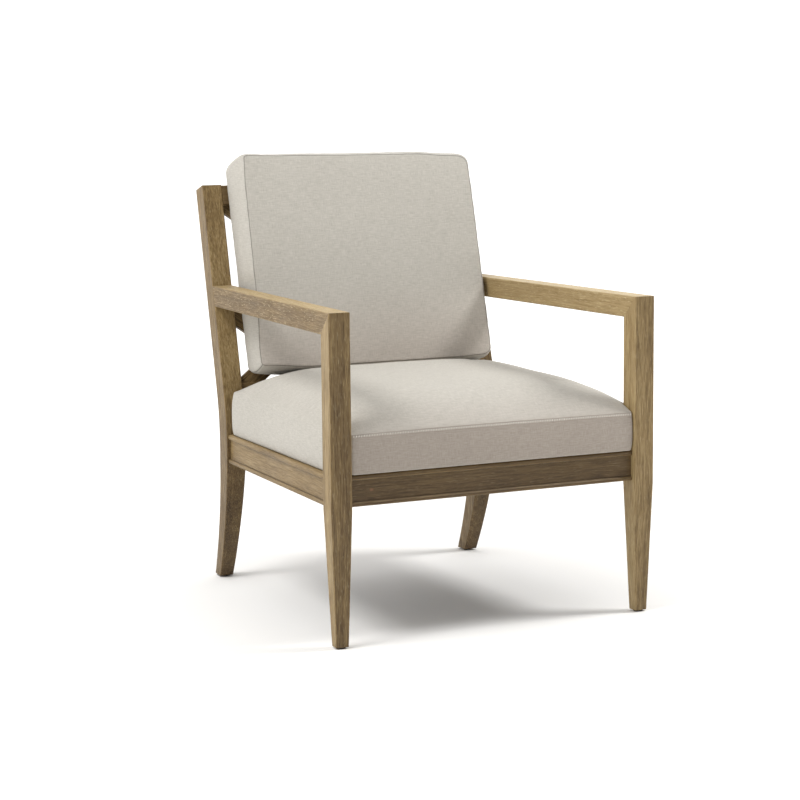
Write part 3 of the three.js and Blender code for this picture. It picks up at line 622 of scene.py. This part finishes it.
def to_back(p):
    """A frame point in metres to x, s, d of the leaning back, in mm."""
    y = p.y * 1000 + Y_MID - BACK_Y
    z = p.z * 1000 - BACK_Z
    return p.x * 1000, y * SIN + z * COS, y * COS - z * SIN


# --- the loose back cushion: two panels joined by a boxing strip, with a seam round each panel
LEFT_SEAM = [(-1.0, 267.5), (-0.85, 267.5), (-0.5, 262.6), (-0.2, 260.6), (0.25, 259.0), (0.7, 257.6), (1.0, 254.0)]
RIGHT_SEAM = [(-1.0, 261.5), (-0.3, 262.5), (0.6, 263.0), (1.0, 262.0)]
TOP_SEAM = [(-1.0, 571.4), (-0.6, 569.6), (0.0, 568.3), (0.5, 568.0), (0.85, 562.5), (1.0, 560.0)]
CUSHION_FRONT, CUSHION_BACK = -104.5, -4.0


def cushion_edges(u, v, t):
    """Left, right, low and high edge of the cushion at depth t (0 front, 1 back)."""
    belly = max(0.0, math.sin(math.pi * t)) ** 0.75
    left = table(LEFT_SEAM, v) * (1 - t) + 259.0 * t + belly * 4.6 * (1 - 0.35 * v * v)
    # the filling stands out right behind the front seam, along the top and the right side
    puff = math.tanh(1.5 * math.sqrt(max(0.0, math.sin(math.pi * t)))) / 0.905
    right = table(RIGHT_SEAM, v) * (1 - t) + 259.0 * t + puff * 9.0 * (1 - 0.3 * v * v)
    low_front = 122.5 + 8.5 * smooth((-u - 0.55) / 0.45) + 3.0 * smooth((u - 0.7) / 0.3)
    low = low_front * (1 - t) + (127 + 6 * smooth((abs(u) - 0.7) / 0.3)) * t - belly * 9.5
    # each edge pulls in a little between its corners
    high = table(TOP_SEAM, u) * (1 - t) + 563.0 * t + puff * (8.0 + 1.5 * smooth((u + 1) / 0.6))
    return -left, right, low, high


def cushion_point(u, v, t):
    xl, xr, sl, sh = cushion_edges(u, v, t)
    x = xl + (xr - xl) * (u + 1) / 2
    s = sl + (sh - sl) * (v + 1) / 2
    w, h = (xr - xl) / 2, (sh - sl) / 2
    px, ps = x - (xl + xr) / 2, s - (sl + sh) / 2
    r0 = (5.0 if ps > 0 else 8.0) if px < 0 else 19.0
    r1 = (6.0 if ps > 0 else 12.0) if px < 0 else 25.0
    r = r0 + (r1 - r0) * smooth(t / 0.9)
    ax, ay = abs(px) - (w - r), abs(ps) - (h - r)
    if ax > 0 and ay > 0:
        k = max(ax, ay) / math.hypot(ax, ay)
        px = math.copysign(w - r + ax * k, px)
        ps = math.copysign(h - r + ay * k, ps)
    d = CUSHION_FRONT + (CUSHION_BACK - CUSHION_FRONT) * t
    wob = noise.noise(Vector((px * 0.017, ps * 0.017, 3.0 + t * 2))) * 0.8
    return px + (xl + xr) / 2 + wob * 0.5, ps + (sl + sh) / 2, d + wob


def cushion_mesh():
    nx, ns, nd = 74, 64, 14
    verts, pins, faces, pairs, caps = [], [], [], [], []

    def add(u, v, t, pin, cap):
        x, s, d = cushion_point(u, v, t)
        verts.append(on_back(x, s, d))
        pins.append(pin)
        caps.append(cap)
        return len(verts) - 1

    def uv(i, j):
        return -1 + 2 * i / nx, -1 + 2 * j / ns

    grids = []
    for t in (0, 1):
        g = {}
        for i in range(nx + 1):
            for j in range(ns + 1):
                rim = i in (0, nx) or j in (0, ns)
                g[i, j] = add(*uv(i, j), t, 1.0 if rim else 0.0, 0.0 if rim else 0.026)
        for i in range(nx):
            for j in range(ns):
                faces.append((g[i, j], g[i + 1, j], g[i + 1, j + 1], g[i, j + 1]))
        grids.append(g)
    loop = [(i, 0) for i in range(nx)] + [(nx, j) for j in range(ns)]
    loop += [(i, ns) for i in range(nx, 0, -1)] + [(0, j) for j in range(ns, 0, -1)]
    m = len(loop)
    rows = [[grids[0][k] for k in loop]]
    for n in range(1, nd):
        t = 0.3 * n / nd + 0.35 * (1 - math.cos(math.pi * n / nd))  # closer rows by the seams
        rows.append([add(*uv(i, j), t, 0.0, 0.0022) for i, j in loop])
    rows.append([grids[1][k] for k in loop])
    for a, b in zip(rows, rows[1:]):
        for k in range(m):
            faces.append((a[k], a[(k + 1) % m], b[(k + 1) % m], b[k]))
    for row in (rows[0], rows[-1]):
        pairs += [(row[k], row[(k + 1) % m]) for k in range(m)]
    for k in (0, nx):  # the boxing is joined at its two lower corners
        pairs += [(a[k], b[k]) for a, b in zip(rows, rows[1:])]
    return verts, faces, pins, pairs, caps


def in_cushion_space(p):
    x, s, d = to_back(p)
    s = max(s, 117.6)
    if s > 486:  # pressed flat against the top rail, free above it
        d = min(d, -0.9 + 8 * smooth((s - 538) / 16))
    else:
        d = min(d, -0.9 + 8 * smooth((486 - s) / 60) * smooth((s - 118) / 60))
    return on_back(x, s, d)


verts, faces, pins, pairs, caps = cushion_mesh()
cushion = build("back_cushion_cover", verts, faces, pins, pairs)
before = [v.co.copy() for v in cushion.data.vertices]
after = inflate(cushion, 6.0, tension=24, bending=2.0)
settle(cushion, before, after, caps, in_cushion_space)
pucker(cushion, 0.0020, 0.020, 0.015)
sew(cushion, 0.0026, 0.0015)
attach(cushion, "loose_cushion")
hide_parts("back_cushion")

# --- the upholstered seat: one cover over the padding, with a seam along its front edge
SEAT = {"front": 6.0, "rear": 596.0, "edge": 402.8, "rise": 5.8, "crown": 53.5, "arch": 4.5}


def seat_half(y):
    return HALF - 14 + 6 * y / SEAT["rear"] - SPLAY * y


def seat_top(x, y):
    yc, hd = (SEAT["front"] + SEAT["rear"]) / 2, (SEAT["rear"] - SEAT["front"]) / 2
    e = min(1, abs((y - yc) / hd))
    q = min(1, abs(x / seat_half(y)))
    arch = SEAT["arch"] * (1 - q * q) * (0.3 + 0.7 * smooth((y - SEAT["front"]) / 90))
    z = SEAT["edge"] + SEAT["rise"] * (y - yc) / hd + arch
    return z + SEAT["crown"] * (1 - q ** 6.8) * (1 - e ** 6)


def arc(cx, cy, r, a0, a1, n):
    return [
        (cx + r * math.cos(math.radians(a0 + (a1 - a0) * i / n)), cy + r * math.sin(math.radians(a0 + (a1 - a0) * i / n)))
        for i in range(n + 1)
    ]


def seat_outline(step=7.5):
    """The cover's plan: round the posts at the front corners, then along the sides."""
    y0, y1 = SEAT["front"], SEAT["rear"]
    inner = HALF - STOCK - 0.9
    ny = POST_DEPTH + 2.4
    r = 5.0
    half = [(0.0, y0)]
    w0 = inner - SPLAY * y0
    half += arc(w0 - r, y0 + r, r, -90, 0, 4)
    half += [(inner - SPLAY * ny, ny - 3)]
    half += arc(inner - SPLAY * ny + 3, ny - 3, 3, 180, 90, 2)[1:]
    wn = seat_half(ny)
    half += arc(wn - 5, ny + 5, 5, -90, 0, 3)
    ra = 13.0
    wr = seat_half(y1 - ra)
    half += arc(wr - ra, y1 - ra, ra, 0, 90, 5)
    half += [(0.0, y1)]
    pts = []
    for (ax, ay), (bx, by) in zip(half, half[1:]):
        n = max(1, round(math.hypot(bx - ax, by - ay) / step))
        pts += [(ax + (bx - ax) * i / n, ay + (by - ay) * i / n) for i in range(n)]
    pts.append(half[-1])
    return pts + [(-x, y) for x, y in reversed(pts[1:-1])]


def seat_mesh():
    outline = seat_outline()
    n = len(outline)
    cx, cy = 0.0, 310.0
    verts, pins, faces = [], [], []
    notch = [SEAT["front"] + 7 < y < POST_DEPTH + 6 for _, y in outline]
    front = [y < SEAT["front"] + 4 for _, y in outline]

    def ring(fn, pin, picks=None):
        row = []
        for k in picks or range(n):
            row.append(len(verts))
            verts.append(fn(*outline[k], k))
            pins.append(pin(k))
        return row

    def join(a, b):
        """Quads between equal rings, or five-sided faces where the inner ring has half as many points."""
        p, q = len(a), len(b)
        if p == q:
            for k in range(p):
                faces.append((a[k], a[(k + 1) % p], b[(k + 1) % p], b[k]))
            return
        for j in range(q):
            nxt = (j + 1) % q
            if 2 * j + 1 < p:
                faces.append((a[2 * j], a[2 * j + 1], a[(2 * j + 2) % p], b[nxt], b[j]))
            else:
                faces.append((a[2 * j], a[0], b[0], b[j]))

    def inset(x, y, amount):
        vx, vy = cx - x, cy - y
        ln = math.hypot(vx, vy)
        return x + vx / ln * amount, y + vy / ln * amount

    walls = 11
    rows = []
    for i in range(walls + 1):
        t = i / walls

        def wall(x, y, k, t=t):
            z0 = rail_top(y) + (-1.2 if y < SEAT["front"] + 1 else 0.45)
            z = z0 + (seat_top(x, y) - z0) * t
            tuck = 2.2 * (1 - smooth(t / 0.14)) + (0.6 if front[k] else 2.0) * smooth((t - 0.75) / 0.25)
            belly = 0 if notch[k] else 1.4 * math.sin(math.pi * t)
            px, py = inset(x, y, tuck - belly)
            return across(px, py, z)

        rows.append(ring(wall, lambda k, i=i: 1.0 if i == 0 or (i == walls and front[k]) else 0.35 if notch[k] else 0.0))
    seam_row = rows[-1]
    picks = list(range(n))
    steps = [0.004, 0.012, 0.022, 0.034, 0.048, 0.064, 0.082, 0.102, 0.125, 0.15, 0.178, 0.208, 0.24, 0.275, 0.312]
    steps += [0.35, 0.39, -0.43, 0.475, 0.52, 0.57, -0.62, 0.67, 0.72, -0.77, 0.82, -0.87, -0.93]
    for t in steps:
        if t < 0:  # a ring with half as many points
            picks, t = picks[::2], -t

        def top(x, y, k, t=t):
            lead = (0.6 if front[k] else 2.0) * (1 - t)
            px, py = x + (cx - x) * t, y + (cy - y) * t
            px, py = inset(px, py, lead) if t < 0.9 else (px, py)
            z = seat_top(px, py)
            z += 0.8 * noise.noise(Vector((px * 0.012, py * 0.012, 7.0))) * smooth(t / 0.1)
            return across(px, py, z)

        rows.append(ring(top, lambda k: 0.0, list(picks)))
    for a, b in zip(rows, rows[1:]):
        join(a, b)
    faces.append(tuple(reversed(rows[-1])))
    # underneath: a lip that turns in over the rails, then up round the edge of the seat board
    picks = list(range(n))
    below = [rows[0]]
    for t, lift in ((5.5, 0.0), (6.5, 12.9), (0.06, 13), (-0.2, 13), (-0.35, 13), (-0.5, 13), (-0.65, 13), (-0.8, 13)):
        if t < 0:
            picks, t = picks[::2], -t

        def bottom(x, y, k, t=t, lift=lift):
            if t > 1:
                px, py = inset(x, y, t)
            else:
                px, py = inset(x, y, 6.5)
                px, py = px + (cx - px) * t, py + (cy - py) * t
            return across(px, py, rail_top(y if t > 1 else py) + 0.45 + lift)

        below.append(ring(bottom, lambda k: 1.0, list(picks)))
    for a, b in zip(below, below[1:]):
        join(a, b)
    faces.append(tuple(below[-1]))
    pairs = [(seam_row[k], seam_row[(k + 1) % n]) for k in range(n) if front[k] and front[(k + 1) % n]]
    return verts, faces, pins, pairs


def calm(o, start, after, rounds, firm=1.0):
    """Evens the cloth's movement out between neighbours; firm padding lets it move in less than out."""
    me = o.data
    moves = [b - a for a, b in zip(start, after)]
    if firm < 1:
        for i, v in enumerate(me.vertices):
            inwards = moves[i].dot(v.normal)
            if inwards < 0:
                moves[i] = moves[i] - v.normal * inwards * (1 - firm)
    near = [[] for _ in me.vertices]
    for e in me.edges:
        a, b = e.vertices
        near[a].append(b)
        near[b].append(a)
    for _ in range(rounds):
        moves = [(m + sum((moves[j] for j in near[i]), Vector()) / len(near[i])) / 2 for i, m in enumerate(moves)]
    return [a + m for a, m in zip(start, moves)]


def in_seat_space(p):
    x, s, d = to_back(p)
    if s > 116.8 and -150 < d < 90:  # the cushion stands here
        s = 116.8 + (s - 116.8) * smooth((-d - 108) / 42)
        p = on_back(x, s, d)
    return p


verts, faces, pins, pairs = seat_mesh()
seat = build("seat_cover", verts, faces, pins, pairs)
before = [v.co.copy() for v in seat.data.vertices]
after = inflate(seat, 1.6, tension=30, bending=3.0)
after = calm(seat, before, after, 4, 0.1)
settle(seat, before, after, [0.0 if w >= 0.99 else 0.0012 if w > 0 else 0.003 for w in pins], in_seat_space)
pucker(seat, 0.0011, 0.016, 0.016)
sew(seat, 0.0022, 0.0009, 0.42)
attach(seat, "chair")
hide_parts("seat_upholstery")


# --- the topstitching just below the seat's front seam
def stitch_mesh(name, centres, directions, normals, length, thick):
    """Rounded stitches, each lying half in the cloth."""
    verts, faces = [], []
    for c, along, up in zip(centres, directions, normals):
        side = along.cross(up).normalized()
        base = len(verts)
        stations = [(-0.5, 0.35, -0.5), (-0.3, 0.85, 0.12), (0.0, 1.0, 0.3), (0.3, 0.85, 0.12), (0.5, 0.35, -0.5)]
        for a, w, lift in stations:
            for q in range(6):
                ang = math.pi * 2 * q / 6
                r = thick / 2 * w
                verts.append(c + along * (a * length) + side * (math.cos(ang) * r) + up * (math.sin(ang) * r + lift * thick * 0.5))
        for i in range(4):
            for q in range(6):
                a, b = base + i * 6 + q, base + i * 6 + (q + 1) % 6
                faces.append((a, b, b + 6, a + 6))
        faces.append(tuple(base + q for q in reversed(range(6))))
        faces.append(tuple(base + 24 + q for q in range(6)))
    me = bpy.data.meshes.new(name)
    me.from_pydata([tuple(v) for v in verts], [], faces)
    for p in me.polygons:
        p.use_smooth = True
    o = bpy.data.objects.new(name, me)
    scene.collection.objects.link(o)
    return o


def seat_stitches():
    tree = BVHTree.FromObject(seat, bpy.context.evaluated_depsgraph_get())
    edge = HALF - STOCK - 7
    n = int(2 * edge / 5.2)
    rng = random.Random(5)
    centres, along, normals = [], [], []
    for i in range(n + 1):
        x = -edge + 2 * edge * i / n
        z = seat_top(x, SEAT["front"]) - 2.7 + rng.uniform(-0.2, 0.2)
        hit = tree.ray_cast(across(x, -60, z), Vector((0, 1, 0)))
        if hit[0] is not None:
            centres.append(hit[0] + hit[1] * 0.0003)
            normals.append(hit[1])
            d = Vector((0.34 + rng.uniform(-0.07, 0.07), 0, 1))
            along.append((d - hit[1] * d.dot(hit[1])).normalized())
    return stitch_mesh("seat_front_stitches", centres, along, normals, 0.0042, 0.0017)


stitches = seat_stitches()
stitches.data.materials.append(THREAD)
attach(stitches, "chair")

# ------------------------------------------------------------------ floor, light and camera
# a flat floor whose far rim rises a little, like the sweep of a backdrop
rings = [(r, 0.0 if r <= 25 else 5.2 * ((r - 25) / 35) ** 2) for r in (2, 6, 14, 25, 30, 36, 42, 48, 54, 60)]
sides = 96
verts = [(0.0, 0.0, 0.0)]
for r, z in rings:
    verts += [(r * math.cos(math.tau * i / sides), r * math.sin(math.tau * i / sides), z) for i in range(sides)]
faces = [(0, 1 + i, 1 + (i + 1) % sides) for i in range(sides)]
for j in range(len(rings) - 1):
    a, b = 1 + j * sides, 1 + (j + 1) * sides
    faces += [(a + i, b + i, b + (i + 1) % sides, a + (i + 1) % sides) for i in range(sides)]
mesh = bpy.data.meshes.new("floor")
mesh.from_pydata(verts, [], faces)
mesh.polygons.foreach_set("use_smooth", [True] * len(faces))
floor = bpy.data.objects.new("floor", mesh)
scene.collection.objects.link(floor)
fm = Tree("floor_pale")
fm.bsdf.inputs["Base Color"].default_value = (0.95, 0.94, 0.92, 1)
# painted light: farther out the floor and its sweep glow by their own emission, to the same white as what stands behind
# it
far = fm.vmath("MULTIPLY", fm.coords(), (1, 1, 0))
far = fm.remap(fm.vmath("LENGTH", far), 1.1, 3.4, 0, 0.45, smooth=True)
# and the glow is weaker on the viewer's side, which stays dimmer
far = fm.math("MULTIPLY", far, fm.remap(fm.split(fm.coords())[1], -6.0, -1.6, 0.25, 1.0, smooth=True))
fm.bsdf.inputs["Emission Color"].default_value = (1, 1, 1, 1)
fm.put(fm.bsdf.inputs["Emission Strength"], far)
fm.bsdf.inputs["Roughness"].default_value = 0.9
fm.bsdf.inputs["Specular IOR Level"].default_value = 0.1
floor.data.materials.append(fm.material)

world = bpy.data.worlds.new("studio")
scene.world = world
world.use_nodes = True
wt = world.node_tree
sky = wt.nodes["Background"]
sky.inputs[0].default_value = (1, 1, 1, 1)
# a studio that is brightest behind, above and to the left of the chair, and dim on the viewer's side
wc = wt.nodes.new("ShaderNodeTexCoord")
wd = wt.nodes.new("ShaderNodeVectorMath")
wd.operation = "DOT_PRODUCT"
wd.inputs[1].default_value = Vector((-0.4, 0.8, 0.45)).normalized()
wr = wt.nodes.new("ShaderNodeMapRange")
wr.interpolation_type = "SMOOTHSTEP"
wt.links.new(wc.outputs["Generated"], wd.inputs[0])
wt.links.new(wd.outputs["Value"], wr.inputs["Value"])
for k, x in (("From Min", -0.4), ("From Max", 0.5), ("To Min", 0.03), ("To Max", 1.22)):
    wr.inputs[k].default_value = x
wt.links.new(wr.outputs[0], sky.inputs[1])


def lamp(name, at, target, size, power, color=(1, 1, 1)):
    data = bpy.data.lights.new(name, "AREA")
    data.shape = "RECTANGLE"
    data.size, data.size_y = size
    data.energy = power
    data.color = color
    o = bpy.data.objects.new(name, data)
    scene.collection.objects.link(o)
    o.location = at
    o.rotation_euler = (Vector(target) - Vector(at)).to_track_quat("-Z", "Y").to_euler()
    return o


lamp("right_softbox", (2.4, -0.95, 2.9), (0, 0, 0.5), (0.9, 0.9), 80)
lamp("left_softbox", (-1.7, -0.45, 2.6), (0, 0, 0.5), (0.8, 0.8), 36)

YAW, PITCH, ROLL = math.radians(25.198), math.radians(7.834), math.radians(-0.570)
forward = Vector((math.sin(YAW) * math.cos(PITCH), math.cos(YAW) * math.cos(PITCH), -math.sin(PITCH)))
right = Vector((math.cos(YAW), -math.sin(YAW), 0))
up = right.cross(forward)
right2 = right * math.cos(ROLL) + up * math.sin(ROLL)
up2 = -right * math.sin(ROLL) + up * math.cos(ROLL)
camera = bpy.data.objects.new("camera", bpy.data.cameras.new("camera"))
scene.collection.objects.link(camera)
m = Matrix.Identity(4)
for i in range(3):
    m[i][0], m[i][1], m[i][2] = right2[i], up2[i], -forward[i]
m.translation = (-1.850435, -3.501968 - Y_MID / 1000, 0.989584)
camera.matrix_world = m
camera.data.sensor_width = 36
camera.data.sensor_fit = "HORIZONTAL"
camera.data.lens = 2129.74 / 800 * 36
camera.data.clip_end = 200
scene.camera = camera
scene.view_settings.view_transform = "Standard"
scene.view_settings.look = "None"
